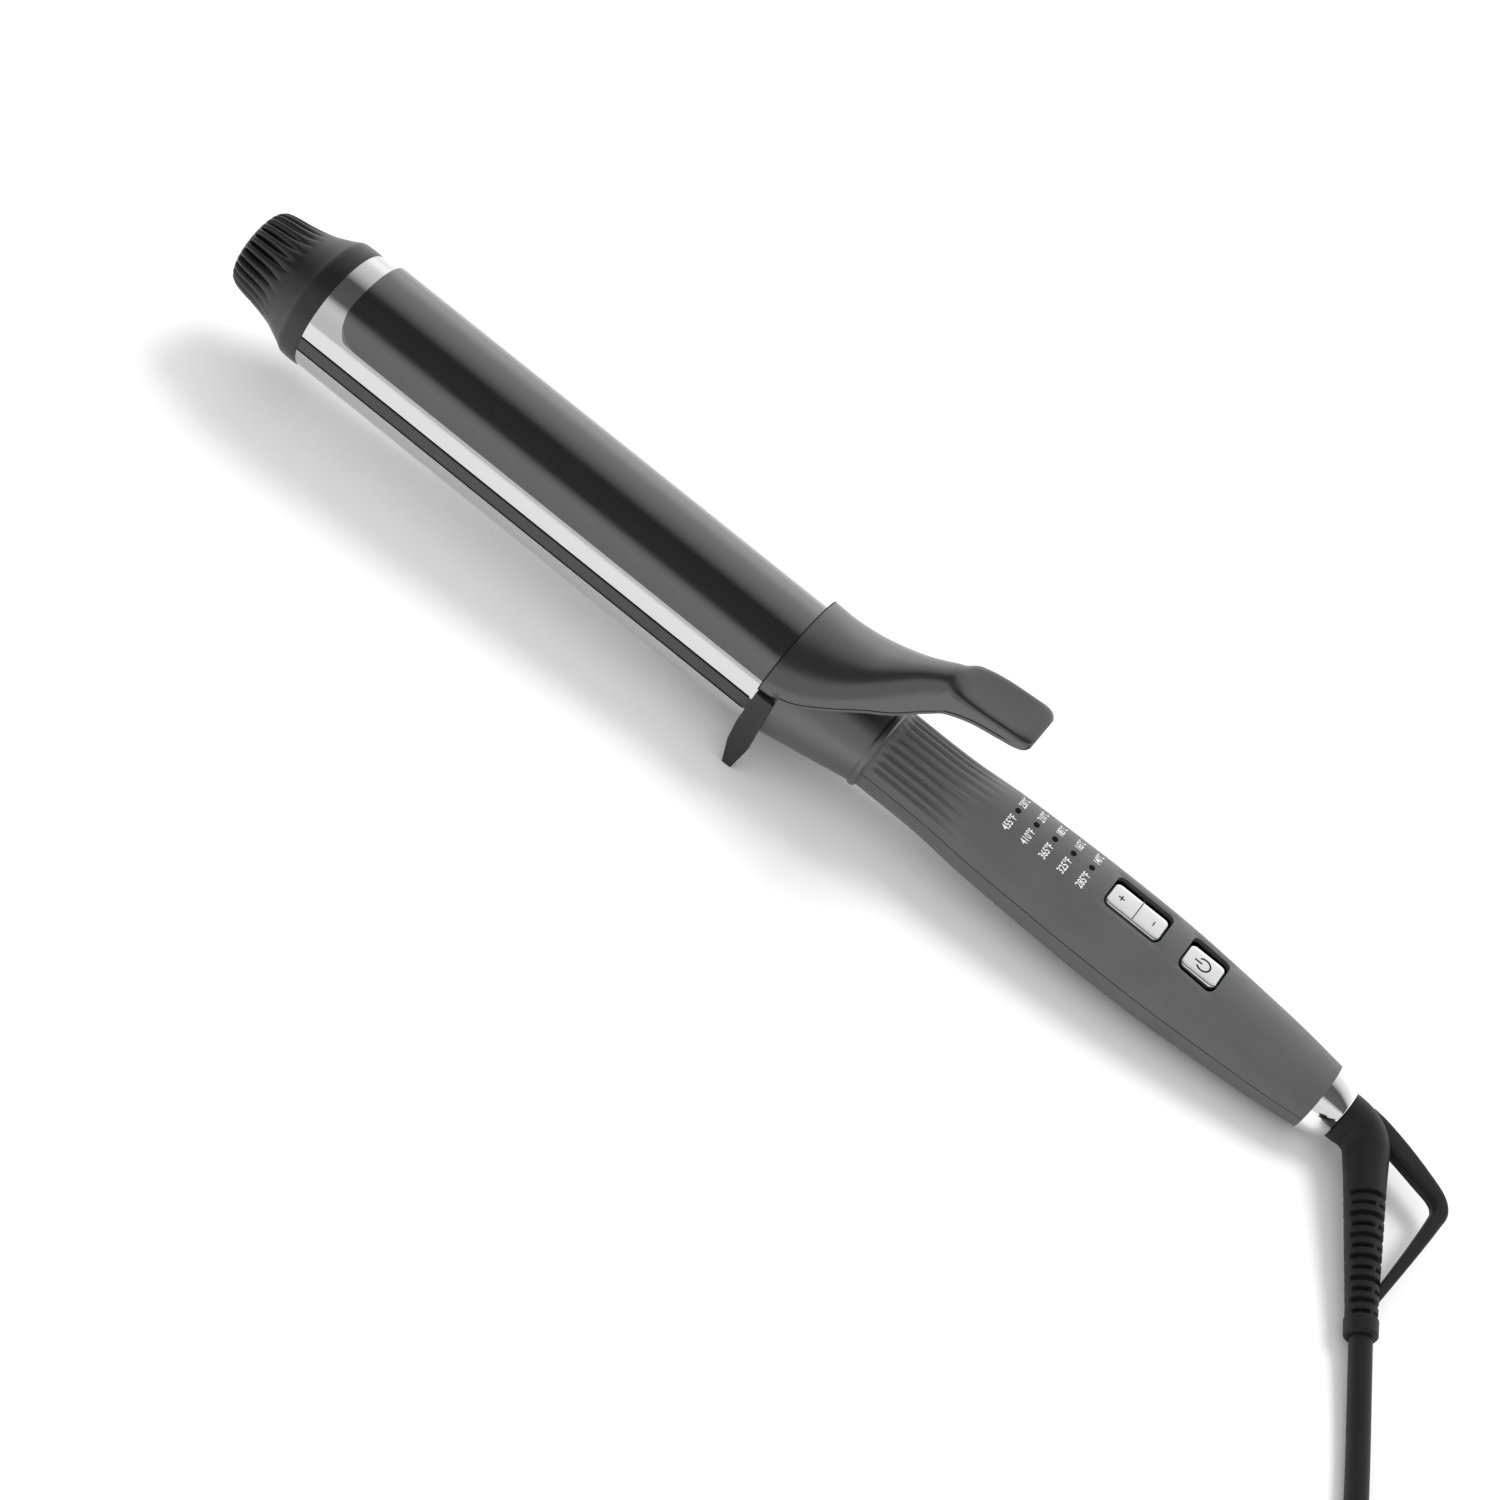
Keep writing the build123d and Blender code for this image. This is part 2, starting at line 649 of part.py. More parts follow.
# ---- the whole iron ----
def iron_pieces():
    """Every piece that is drawn in the iron's own lengthwise frame."""
    spreader = make_heat_spreader()
    leg = make_stand_leg()
    return {
        "barrel_tube": make_barrel_tube(),
        "ion_strip_left": make_ion_strip(180),
        "ion_strip_right": make_ion_strip(0),
        "cool_tip": make_cool_tip(),
        "tip_insulator": make_disc(-152.5, -150.0, 3.0),
        "heat_spreader_upper": spreader,
        "heat_spreader_lower": Rot(X=180) * spreader,
        "ceramic_heater": block(-125.0, -53.0, -9.0, 9.0, -0.75, 0.75),
        "temperature_sensor": rod_x(-92.0, -86.0, 12.0, 0, 0.75),
        "thermal_fuse": rod_x(-40.0, -28.0, 0, -6.0, 2.0),
        "heater_leads": make_heater_leads(),
        "base_insulator": make_disc(-18.0, -15.5, 9.0),
        "ferrule": make_ferrule(),
        "handle_collar": make_handle_collar(),
        "upper_handle_shell": make_upper_shell(),
        "lower_handle_shell": make_lower_shell(),
        "handle_screws": make_handle_screws(),
        "circuit_board": block(
            *BOARD_X, -BOARD_HALF_WIDTH, BOARD_HALF_WIDTH, BOARD_TOP - BOARD_THICK, BOARD_TOP
        ),
        "control_chip": block(102.4, 107.4, -3.5, 3.5, BOARD_TOP, BOARD_TOP + 1.3),
        "power_triac": block(124.0, 134.0, -5.0, 5.0, -1.2, BOARD_TOP - BOARD_THICK),
        "filter_capacitor": rod_x(104.0, 119.0, 0, -1.1, 4.2),
        "button_switches": make_switches(),
        "indicator_leds": make_leds(),
        "indicator_lenses": make_lenses(),
        "ion_generator": block(71.0, 99.0, -7.0, 7.0, -7.5, 1.2),
        "ion_lead": make_ion_lead(),
        "rocker_pivot": rod_y(*ROCKER_PIVOT, -8, 8, ROCKER_PIN_R),
        "end_ring": make_end_ring(),
        "swivel_bush": make_swivel_bush(),
        "contact_brushes": make_brushes(),
        "clamp_spring": make_clamp_spring(),
        "clamp_plate": make_clamp_plate(),
        "thumb_lever": make_thumb_lever(),
        "clamp_rivets": make_clamp_rivets(),
        "stand_leg_left": mirrored(leg),
        "stand_leg_right": leg,
        "hinge_pin": make_hinge_pin(),
        "temperature_rocker": make_rocker(),
        "power_button": make_power_button(),
        "swivel_rotor": make_swivel_rotor(),
        "slip_rings": make_slip_rings(),
        "strain_relief": make_strain_relief(),
        "hang_loop": make_hang_loop(),
    }


def cord_pieces():
    """The cord and what is on it, drawn where they lie."""
    return {
        "cord": make_cord(),
        "cord_coil": make_cord_coil(),
        "coil_tie": make_coil_tie(),
        "plug_body": make_plug_body(),
        "plug_blades": make_plug_blades(),
    }


REST = Pos(ORIGIN_X, 0, ORIGIN_Z) * Rot(Y=PITCH)
os.makedirs("parts", exist_ok=True)
pieces = {name: REST * solid for name, solid in iron_pieces().items()}
pieces.update(cord_pieces())
for name, solid in pieces.items():
    export_step(solid, f"parts/{name}.step")
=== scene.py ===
import json
import math

import bmesh
import bpy
from mathutils import Matrix, Vector


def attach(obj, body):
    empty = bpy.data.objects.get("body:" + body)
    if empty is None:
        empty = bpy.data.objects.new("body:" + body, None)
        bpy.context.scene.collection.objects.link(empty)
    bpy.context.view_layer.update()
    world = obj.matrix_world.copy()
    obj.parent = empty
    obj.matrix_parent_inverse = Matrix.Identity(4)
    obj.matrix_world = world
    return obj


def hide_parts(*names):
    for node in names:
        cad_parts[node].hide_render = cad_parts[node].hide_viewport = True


# A curling iron at rest on a pale floor. What has the iron's own lengthwise frame is given in
# millimetres there: X from the cool tip to the cord, x = 0 at the clamp's seam with the lever,
# Z to the clamp's side. IRON puts it in the scene, in metres.
MM = 0.001
PITCH = math.radians(3.55)
IRON = (
    Matrix.Scale(MM, 4)
    @ Matrix.Translation((-2.06, 0.0, 22.99))
    @ Matrix.Rotation(PITCH, 4, "Y")
)

# ---- camera, in the iron's frame ----
CAMERA_PLACE = (86.3, -633.7, 701.2)
CAMERA_YAW = 7.33
CAMERA_ELEVATION = 49.1
CAMERA_ROLL = 33.33
CAMERA_LENS = 82.34
SENSOR = 36.0

# ---- cord, in metres, as the CAD lays it ----
CORD_D = 0.0064
CORD_ROUTE = [
    (0.2287, -0.0542, 0.0054), (0.2369, -0.0703, 0.0040), (0.2454, -0.0880, 0.0035),
    (0.2524, -0.1040, 0.0036), (0.2561, -0.1170, 0.0039), (0.2568, -0.1300, 0.0041),
]
COIL_CENTRE = (0.3010, -0.1259)
COIL_MEAN_R = 0.038
COIL_ACROSS = 3             # turns side by side in each layer
COIL_LAYERS = 3
COIL_FLOOR = 0.0009
COIL_START = 185.3          # degrees, where the route meets the outer turn
POINTS_PER_TURN = 14
PLUG_SIZE = (0.036, 0.024, 0.016)
PLUG_OFFSET = (0.003, -0.036)
PLUG_GAP = 0.0001           # between the plug and the coil it lies on
PLUG_RELIEF = 0.016         # the plug's own strain relief
LEAD_BEFORE = 0.012         # the last two points of the cord, before and inside that relief
LEAD_INSIDE = 0.004

# ---- sizes that follow the CAD, in the iron's millimetres ----
BARREL_R = 19.05
STRIP_HALF_ANGLE = 7.5      # degrees
SEAM_WIDTH = 0.7
TIP_END = -190.6
TIP_FLANGE = -160.4
HANDLE_OUTLINE = [
    (35.5, 12.75), (56.7, 12.9), (73.0, 14.0), (89.5, 14.5), (106.0, 14.85),
    (125.0, 14.85), (138.7, 14.4), (155.0, 13.4), (171.4, 12.2), (187.0, 10.5),
]
HANDLE_START, HANDLE_END = HANDLE_OUTLINE[0][0], HANDLE_OUTLINE[-1][0]
HANDLE_WALL = 2.0
PARTING_GAP = 0.7           # degrees left free at each half's edge
LED_X = [75.3, 81.6, 87.9, 94.2, 100.5]
LENS_R = 0.9
ROCKER = (107.9, 127.0, 5.0, 14.0)    # start, end, half width, top radius
POWER = (134.0, 146.7, 5.4, 13.5)
BUTTON_SIDE_GAP = 1.1
BEND = math.radians(63.0)
BEND_TILT = math.radians(3.4)
BEND_RADIUS = 9.0
BEND_TANGENT = BEND_RADIUS * math.tan(BEND / 2)
ELBOW_X = 203.7
BOOT_LENGTH = 61.0
BOOT_START = 195.0

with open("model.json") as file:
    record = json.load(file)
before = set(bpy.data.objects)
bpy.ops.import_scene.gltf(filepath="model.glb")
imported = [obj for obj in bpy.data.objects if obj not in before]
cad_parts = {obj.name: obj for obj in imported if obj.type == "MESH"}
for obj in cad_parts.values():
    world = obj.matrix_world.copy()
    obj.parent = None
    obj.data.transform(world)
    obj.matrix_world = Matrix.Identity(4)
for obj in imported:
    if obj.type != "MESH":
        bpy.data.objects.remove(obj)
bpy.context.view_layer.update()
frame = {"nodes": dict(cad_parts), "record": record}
NODES = frame["nodes"]


# ---- mesh helpers ----
def lerp(a, b, t):
    return a + (b - a) * t


def smoothstep(a, b, x):
    """0 below a, 1 above b, and smooth between them."""
    t = min(max((x - a) / (b - a), 0.0), 1.0)
    return t * t * (3 - 2 * t)


def spline_value(stations, x, column=1):
    """A Catmull-Rom value at x through stations that are sorted by their first column."""
    x = min(max(x, stations[0][0]), stations[-1][0])
    k = 0
    while k < len(stations) - 2 and x > stations[k + 1][0]:
        k += 1
    p1, p2 = stations[k], stations[k + 1]
    p0 = stations[k - 1] if k > 0 else p1
    p3 = stations[k + 2] if k + 2 < len(stations) else p2
    width = p2[0] - p1[0]
    t = (x - p1[0]) / width
    slope1 = (p2[column] - p0[column]) / max(p2[0] - p0[0], 1e-6) * width
    slope2 = (p3[column] - p1[column]) / max(p3[0] - p1[0], 1e-6) * width
    h00 = 2 * t ** 3 - 3 * t ** 2 + 1
    h10 = t ** 3 - 2 * t ** 2 + t
    h01 = -2 * t ** 3 + 3 * t ** 2
    h11 = t ** 3 - t ** 2
    return h00 * p1[column] + h10 * slope1 + h01 * p2[column] + h11 * slope2


def steps(a, b, count):
    """Evenly spaced values from a to b, both included."""
    return [a + (b - a) * k / count for k in range(count + 1)]


def add_object(name, mesh, body, slot, smooth_angle=35.0, material=None):
    """Links a finished mesh as a piece of the iron, in its slot's material or another."""
    for polygon in mesh.polygons:
        polygon.use_smooth = True
    mesh.set_sharp_from_angle(angle=math.radians(smooth_angle))
    mesh.materials.clear()
    mesh.materials.append(material or MATERIALS[slot])
    piece = bpy.data.objects.new(name, mesh)
    bpy.context.scene.collection.objects.link(piece)
    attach(piece, body)
    return piece


def mesh_from(name, points, faces):
    """A mesh in the scene's metres, from points in the iron's millimetres."""
    mesh = bpy.data.meshes.new(name)
    mesh.from_pydata([IRON @ Vector(point) for point in points], [], faces)
    mesh.update()
    work = bmesh.new()
    work.from_mesh(mesh)
    bmesh.ops.recalc_face_normals(work, faces=work.faces)
    work.to_mesh(mesh)
    work.free()
    return mesh


def loops_mesh(name, loops, closed_ends=True):
    """A skin over closed loops that all have the same number of points."""
    count = len(loops[0])
    points = [point for loop in loops for point in loop]
    faces = []
    for row in range(len(loops) - 1):
        for k in range(count):
            a = row * count + k
            b = row * count + (k + 1) % count
            faces.append((a, b, b + count, a + count))
    if closed_ends:
        faces.append(tuple(range(count)))
        faces.append(tuple((len(loops) - 1) * count + k for k in range(count)))
    return mesh_from(name, points, faces)


def around_axis(x, radius, angle):
    """A point about the iron's axis. Angle 0 is the -Y side, and 90 degrees the clamp's side."""
    return (x, -radius * math.cos(angle), radius * math.sin(angle))


def circle(x, radius, count):
    """A closed loop round the iron's axis."""
    return [around_axis(x, radius, math.tau * k / count) for k in range(count)]


def cut(mesh, cutters):
    """The mesh without what is inside the cutters, which are meshes too."""
    target = bpy.data.objects.new("cut_target", mesh)
    bpy.context.scene.collection.objects.link(target)
    made = [target]
    for cutter_mesh in cutters:
        cutter = bpy.data.objects.new("cutter", cutter_mesh)
        bpy.context.scene.collection.objects.link(cutter)
        made.append(cutter)
        modifier = target.modifiers.new("cut", "BOOLEAN")
        modifier.operation = "DIFFERENCE"
        modifier.solver = "EXACT"
        modifier.object = cutter
    bpy.context.view_layer.update()
    evaluated = target.evaluated_get(bpy.context.evaluated_depsgraph_get())
    result = bpy.data.meshes.new_from_object(evaluated)
    for extra in made:
        bpy.data.objects.remove(extra)
    return result


def rounded_rectangle(half_x, half_y, corner, per_corner=6):
    """A closed outline about the origin, anticlockwise."""
    points = []
    for k, (sx, sy) in enumerate(((1, 1), (-1, 1), (-1, -1), (1, -1))):
        for j in range(per_corner + 1):
            turn = math.radians(90 * k + 90 * j / per_corner)
            x = sx * (half_x - corner) + corner * math.cos(turn)
            y = sy * (half_y - corner) + corner * math.sin(turn)
            points.append((x, y))
    return points


# ---- materials ----
def linear(grey):
    """The linear value of an sRGB grey from 0 to 255."""
    c = grey / 255
    return c / 12.92 if c <= 0.04045 else ((c + 0.055) / 1.055) ** 2.4


EVEN = (1, 1, 1)
ALONG = (0.04, 1, 1)       # draws a pattern out lengthwise


class Nodes:
    """A new material with its shader, and short ways to add nodes to it."""

    def __init__(self, name, color, roughness, metallic=0.0, specular=0.5):
        self.material = bpy.data.materials.new(name)
        self.material.use_nodes = True
        self.tree = self.material.node_tree
        self.shader = self.tree.nodes["Principled BSDF"]
        self.color = color
        self.shader.inputs["Base Color"].default_value = (*color, 1.0)
        self.shader.inputs["Roughness"].default_value = roughness
        self.shader.inputs["Metallic"].default_value = metallic
        self.shader.inputs["Specular IOR Level"].default_value = specular
        self.roughness = roughness

    def stretched(self, scale):
        """Object position scaled on each axis, to draw a pattern out along one of them."""
        mapping = self.tree.nodes.new("ShaderNodeMapping")
        mapping.inputs["Scale"].default_value = scale
        coordinates = self.tree.nodes.new("ShaderNodeTexCoord")
        self.tree.links.new(coordinates.outputs["Object"], mapping.inputs["Vector"])
        return mapping.outputs["Vector"]

    def noise(self, size_mm, detail=3.0, stretch=EVEN):
        """Soft noise with spots of about that size."""
        texture = self.tree.nodes.new("ShaderNodeTexNoise")
        texture.inputs["Scale"].default_value = 1 / (size_mm * MM)
        texture.inputs["Detail"].default_value = detail
        self.tree.links.new(self.stretched(stretch), texture.inputs["Vector"])
        return texture.outputs["Fac"]

    def ranged(self, value, low, high):
        """Noise spread from low to high. It rarely leaves 0.3 to 0.7 of its own range."""
        mapped = self.tree.nodes.new("ShaderNodeMapRange")
        mapped.inputs["From Min"].default_value = 0.3
        mapped.inputs["From Max"].default_value = 0.7
        mapped.inputs["To Min"].default_value = low
        mapped.inputs["To Max"].default_value = high
        self.tree.links.new(value, mapped.inputs["Value"])
        return mapped.outputs["Result"]

    def vary_roughness(self, value, amount):
        low, high = self.roughness - amount, self.roughness + amount
        self.tree.links.new(self.ranged(value, low, high), self.shader.inputs["Roughness"])

    def vary_color(self, value, amount):
        mix = self.tree.nodes.new("ShaderNodeMix")
        mix.data_type = "RGBA"
        darker = [channel * (1 - amount) for channel in self.color]
        lighter = [channel * (1 + amount) for channel in self.color]
        mix.inputs["A"].default_value = (*darker, 1.0)
        mix.inputs["B"].default_value = (*lighter, 1.0)
        self.tree.links.new(self.ranged(value, 0.0, 1.0), mix.inputs["Factor"])
        self.tree.links.new(mix.outputs["Result"], self.shader.inputs["Base Color"])

    def bump(self, value, strength, depth_mm):
        bump = self.tree.nodes.new("ShaderNodeBump")
        bump.inputs["Strength"].default_value = strength
        bump.inputs["Distance"].default_value = depth_mm * MM
        self.tree.links.new(value, bump.inputs["Height"])
        self.tree.links.new(bump.outputs["Normal"], self.shader.inputs["Normal"])


def grey(value):
    """A colour without hue, from its sRGB value."""
    return (linear(value),) * 3


def moulded(name, value, roughness, grain_mm=0.25, grain=0.12, specular=0.4):
    """Moulded plastic or rubber with a fine spark-eroded grain."""
    made = Nodes(name, grey(value), roughness, specular=specular)
    fine = made.noise(grain_mm)
    made.bump(fine, grain, 0.04)
    made.vary_roughness(made.noise(9.0), 0.04)
    made.vary_color(made.noise(14.0), 0.05)
    return made.material


def glossy_moulded(name, value, roughness, specular):
    """Smooth moulded plastic with a hard, glossy skin."""
    made = Nodes(name, grey(value), roughness, specular=specular)
    made.shader.inputs["IOR"].default_value = 1.7
    made.vary_roughness(made.noise(9.0), 0.03)
    made.bump(made.noise(0.4), 0.02, 0.015)
    return made.material


def brushed(name, color, roughness, stretch, grain=0.05, spread=0.04):
    """Metal with fine scratches, which run one way if they are stretched."""
    made = Nodes(name, color, roughness, metallic=1.0)
    lines = made.noise(0.5, 2.0, stretch)
    made.vary_roughness(lines, spread)
    made.bump(lines, grain, 0.01)
    return made.material


def plated(name, color, roughness):
    """Bright plating, with the faint unevenness of what is under it."""
    made = Nodes(name, color, roughness, metallic=1.0)
    made.vary_roughness(made.noise(4.0), 0.02)
    made.bump(made.noise(6.0), 0.03, 0.05)
    return made.material


def printed_board(name):
    made = Nodes(name, (0.01, 0.09, 0.03), 0.35)
    made.vary_color(made.noise(2.0), 0.35)
    return made.material


def white_print(name):
    made = Nodes(name, grey(225), 0.5)
    made.vary_color(made.noise(0.6), 0.04)
    return made.material


MATERIALS = {
    "polished_titanium": brushed("polished_titanium", grey(205), 0.11, ALONG),
    "ion_ceramic": moulded("ion_ceramic", 58, 0.42, 0.3, 0.1),
    "black_plastic": glossy_moulded("black_plastic", 22, 0.34, 0.3),
    "clamp_metal": brushed("clamp_metal", grey(112), 0.14, ALONG),
    "lever_plastic": glossy_moulded("lever_plastic", 24, 0.26, 0.8),
    "ferrule_plastic": glossy_moulded("ferrule_plastic", 38, 0.32, 0.9),
    "handle_plastic": moulded("handle_plastic", 86, 0.45, 0.22, 0.1),
    "stand_black": moulded("stand_black", 31, 0.4),
    "bright_chrome": plated("bright_chrome", grey(238), 0.06),
    "button_chrome": plated("button_chrome", grey(232), 0.16),
    "steel": brushed("steel", grey(180), 0.3, EVEN),
    "brass": brushed("brass", (0.72, 0.47, 0.16), 0.25, EVEN),
    "aluminium": brushed("aluminium", grey(200), 0.35, ALONG),
    "phenolic": moulded("phenolic", 60, 0.6),
    "white_ceramic": moulded("white_ceramic", 225, 0.5),
    "board_green": printed_board("board_green"),
    "chip_black": moulded("chip_black", 40, 0.5),
    "lead_insulation": moulded("lead_insulation", 210, 0.5),
    "potting": moulded("potting", 45, 0.4),
    "smoked_lens": moulded("smoked_lens", 14, 0.6, specular=0.1),
    "led_body": moulded("led_body", 215, 0.3),
    "boot_rubber": moulded("boot_rubber", 29, 0.5, 0.25, 0.1, 0.2),
    "cord_rubber": moulded("cord_rubber", 29, 0.5, 0.25, 0.1, 0.2),
    "tie_rubber": moulded("tie_rubber", 40, 0.5),
}
PRINT = white_print("white_print")
# Black for the button print and the ion strips' joints, and for the painted shade in the lever's
# front gap.
MARK_AND_SHADE = moulded("mark_and_shade_black", 14, 0.6, specular=0.1)


def dress_cad_nodes():
    """Gives every CAD node the material of its slot."""
    for part in frame["record"]["subparts"]:
        node = NODES[part["node"]]
        node.data.materials.clear()
        node.data.materials.append(MATERIALS[part["material_slot"]])


# ---- cord ----
def coil_points():
    """The wound cord: each layer spirals in or out, and the next one lies on it."""
    points = []
    outer = COIL_MEAN_R + CORD_D * (COIL_ACROSS - 1) / 2
    inner = COIL_MEAN_R - CORD_D * (COIL_ACROSS - 1) / 2
    total = POINTS_PER_TURN * COIL_ACROSS
    for layer in range(COIL_LAYERS):
        start, end = (outer, inner) if layer % 2 == 0 else (inner, outer)
        for k in range(total):
            t = k / total
            angle = math.radians(COIL_START) + math.tau * COIL_ACROSS * (layer + t)
            radius = lerp(start, end, smoothstep(0.0, 1.0, t))
            climb = smoothstep(1 - 1 / COIL_ACROSS, 1.0, t) if layer < COIL_LAYERS - 1 else 0.0
            height = COIL_FLOOR + CORD_D * (layer + 0.5 + climb)
            x = COIL_CENTRE[0] + radius * math.cos(angle)
            y = COIL_CENTRE[1] + radius * math.sin(angle)
            points.append((x, y, height))
    return points


def plug_centre():
    rise = COIL_FLOOR + CORD_D * COIL_LAYERS + PLUG_GAP + PLUG_SIZE[2] / 2
    return Vector((COIL_CENTRE[0] + PLUG_OFFSET[0], COIL_CENTRE[1] + PLUG_OFFSET[1], rise))


def lead_points():
    """From the last turn up on to the coil and into the back of the plug."""
    plug = plug_centre()
    back = plug.x - PLUG_SIZE[0] / 2 - PLUG_RELIEF
    return [(back - LEAD_BEFORE, plug.y, plug.z), (back + LEAD_INSIDE, plug.y, plug.z)]


def make_cord():
    """The whole cord as one smooth curve, from the boot to the plug."""
    points = CORD_ROUTE + coil_points()[1:] + lead_points()
    curve = bpy.data.curves.new("mains_cord", "CURVE")
    curve.dimensions = "3D"
    curve.bevel_depth = CORD_D / 2
    curve.bevel_resolution = 6
    curve.resolution_u = 6
    curve.use_fill_caps = True
    spline = curve.splines.new("NURBS")
    spline.points.add(len(points) - 1)
    for point, place in zip(spline.points, points):
        point.co = (*place, 1.0)
    spline.order_u = 3
    spline.use_endpoint_u = True
    curve.materials.append(MATERIALS["cord_rubber"])
    cord = bpy.data.objects.new("mains_cord", curve)
    bpy.context.scene.collection.objects.link(cord)
    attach(cord, "cord_swivel")
    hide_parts("cord", "cord_coil")
    return cord


# ---- barrel end ----
TIP_PLEATS = 28
POINTS_PER_PLEAT = 14
PLEAT_DEPTH = 1.8
PLEATS_FADE = (-185.0, -172.5)
TIP_PROFILE = [
    (TIP_END, 9.4), (-190.0, 11.2), (-188.5, 12.4), (-185.5, 13.2), (-181.5, 13.8),
    (-177.5, 14.6), (-173.5, 15.7), (-170.5, 17.0), (-168.2, 18.1), (-167.3, 18.6),
    (-166.4, 19.1), (-165.0, 19.35), (-161.2, 19.4), (TIP_FLANGE, 19.1),
]
TIP_DOME = [(TIP_END - 0.35, 0.6), (TIP_END - 0.3, 5.0), (TIP_END - 0.12, 7.8)]
TIP_SOCKET = [(TIP_FLANGE, 18.0), (-154.0, 18.0), (-154.0, 16.0), (-166.0, 15.8)]


def pleat_depth(x):
    """How deep the valleys between the pleats are at x."""
    rise = smoothstep(TIP_END - 0.6, TIP_END + 2.5, x)
    return PLEAT_DEPTH * (1 - smoothstep(*PLEATS_FADE, x)) * rise


def make_cool_tip():
    """A bell whose rounded pleats are deepest near its end."""
    around = TIP_PLEATS * POINTS_PER_PLEAT
    loops = [circle(x, radius, around) for x, radius in TIP_DOME]
    for x in steps(TIP_END, TIP_FLANGE, 80):
        radius = spline_value(TIP_PROFILE, x)
        depth = pleat_depth(x)
        loop = []
        for k in range(around):
            angle = math.tau * k / around
            pleat = abs(math.cos(angle * TIP_PLEATS / 2)) ** 0.7
            loop.append(around_axis(x, radius - depth * (1 - pleat), angle))
        loops.append(loop)
    loops += [circle(x, radius, around) for x, radius in TIP_SOCKET]
    mesh = loops_mesh("ribbed_tip", loops)
    tip = add_object("ribbed_tip", mesh, "handle", "black_plastic", 50)
    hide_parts("cool_tip")


SEAM_END = -1.0
SEAM_SINK = 0.02
SEAM_RISE = 0.03


def make_strip_seams():
    """The dark joint lines where the ceramic strips are let into the barrel."""
    half = SEAM_WIDTH / BARREL_R / 2
    low, high = BARREL_R - SEAM_SINK, BARREL_R + SEAM_RISE
    for side in (0.0, 180.0):
        for edge in (-STRIP_HALF_ANGLE, STRIP_HALF_ANGLE):
            middle = math.radians(side + edge)
            loops = []
            for x in (TIP_FLANGE, SEAM_END):
                corners = ((low, -half), (high, -half), (high, half), (low, half))
                loops.append([around_axis(x, radius, middle + angle) for radius, angle in corners])
            name = f"strip_seam_{side:.0f}_{'upper' if edge > 0 else 'lower'}"
            add_object(name, loops_mesh(name, loops), "handle", "ion_ceramic", material=MARK_AND_SHADE)


# ---- thumb lever ----
# x, half width, height of the side edges, height of the top, wall, flatness of the top
LEVER_STATIONS = [
    (0.0, 20.1, 8.6, 21.7, 1.15, 2.0), (9.0, 18.9, 9.7, 23.3, 1.6, 2.0),
    (18.0, 16.0, 14.2, 27.0, 2.0, 2.0), (26.5, 12.6, 19.4, 32.8, 2.2, 2.0),
    (33.0, 10.0, 22.9, 37.8, 2.4, 2.1), (38.5, 8.4, 28.2, 41.8, 2.6, 2.3),
    (41.0, 8.2, 31.0, 42.7, 3.0, 2.7), (44.0, 8.5, 34.6, 43.1, 4.0, 5.0),
    (51.0, 8.8, 38.4, 44.0, 6.0, 7.0), (59.0, 8.8, 40.4, 44.9, 5.0, 7.0),
    (64.5, 8.5, 41.5, 45.4, 4.0, 6.0), (66.8, 7.6, 42.0, 45.3, 3.5, 5.0),
    (67.8, 6.2, 42.6, 44.9, 3.0, 4.0),
]
LEVER_START, LEVER_END = LEVER_STATIONS[0][0], LEVER_STATIONS[-1][0]
RIM_HEIGHT = 1.0            # the band along each side edge that stands proud
RIM_DEPTH = 0.28
RIM_STEP = 0.2
RIM_CLEAR = 0.12            # radians, from the rim's step to the next point
DISH_DEPTH = 0.5


def lever_turns(height, flat):
    """Half a turn from side edge to side edge, with close steps where the rim ends."""
    ends = []
    for rise in (RIM_HEIGHT, RIM_HEIGHT + RIM_STEP):
        ends.append(math.asin(min(rise / height, 0.9) ** (flat / 2)))
    first = ends[-1] + RIM_CLEAR
    middle = steps(first, math.pi - first, 16)
    return [0.0] + ends + middle + [math.pi - turn for turn in reversed(ends)] + [math.pi]


def lever_values(x):
    """The lever's sizes at x, in the order of its stations."""
    return [spline_value(LEVER_STATIONS, x, k) for k in range(1, 6)]


def lever_outside(x):
    """The outer line of the lever's section, from one side edge over the top to the other."""
    half, edge, top, _, flat = lever_values(x)
    dish = DISH_DEPTH * smoothstep(42.0, 46.0, x) * (1 - smoothstep(60.0, 66.0, x))
    rim = RIM_DEPTH * smoothstep(1.0, 7.0, x) * (1 - smoothstep(60.0, 65.0, x))
    line = []
    for turn in lever_turns(top - edge, flat):
        side, rise = -math.cos(turn), math.sin(turn)
        y = half * math.copysign(abs(side) ** (2 / flat), side)
        z = edge + (top - edge) * rise ** (2 / flat)
        if z > edge + RIM_HEIGHT + RIM_STEP / 2:
            y -= math.copysign(min(rim, abs(y)), y)
        z -= dish * (1 - (y / half) ** 2) * rise ** 4
        line.append((x, y, z))
    return line


def lever_loop(x):
    """The lever's whole section: over its outside and back along the arch inside."""
    half, edge, top, wall, _ = lever_values(x)
    inner_half = half - min(wall, 1.6)
    inner_top = max(top - wall, edge + 0.05)
    loop = lever_outside(x)
    count = 14
    for k in range(count + 1):
        turn = math.pi * k / count
        y = inner_half * math.cos(turn)
        loop.append((x, y, edge + (inner_top - edge) * math.sin(turn)))
    return loop


def make_thumb_lever():
    loops = [lever_loop(x) for x in steps(LEVER_START, LEVER_END, 100)]
    mesh = loops_mesh("arched_lever", loops)
    lever = add_object("arched_lever", mesh, "clamp", "lever_plastic", 40)
    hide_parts("thumb_lever")


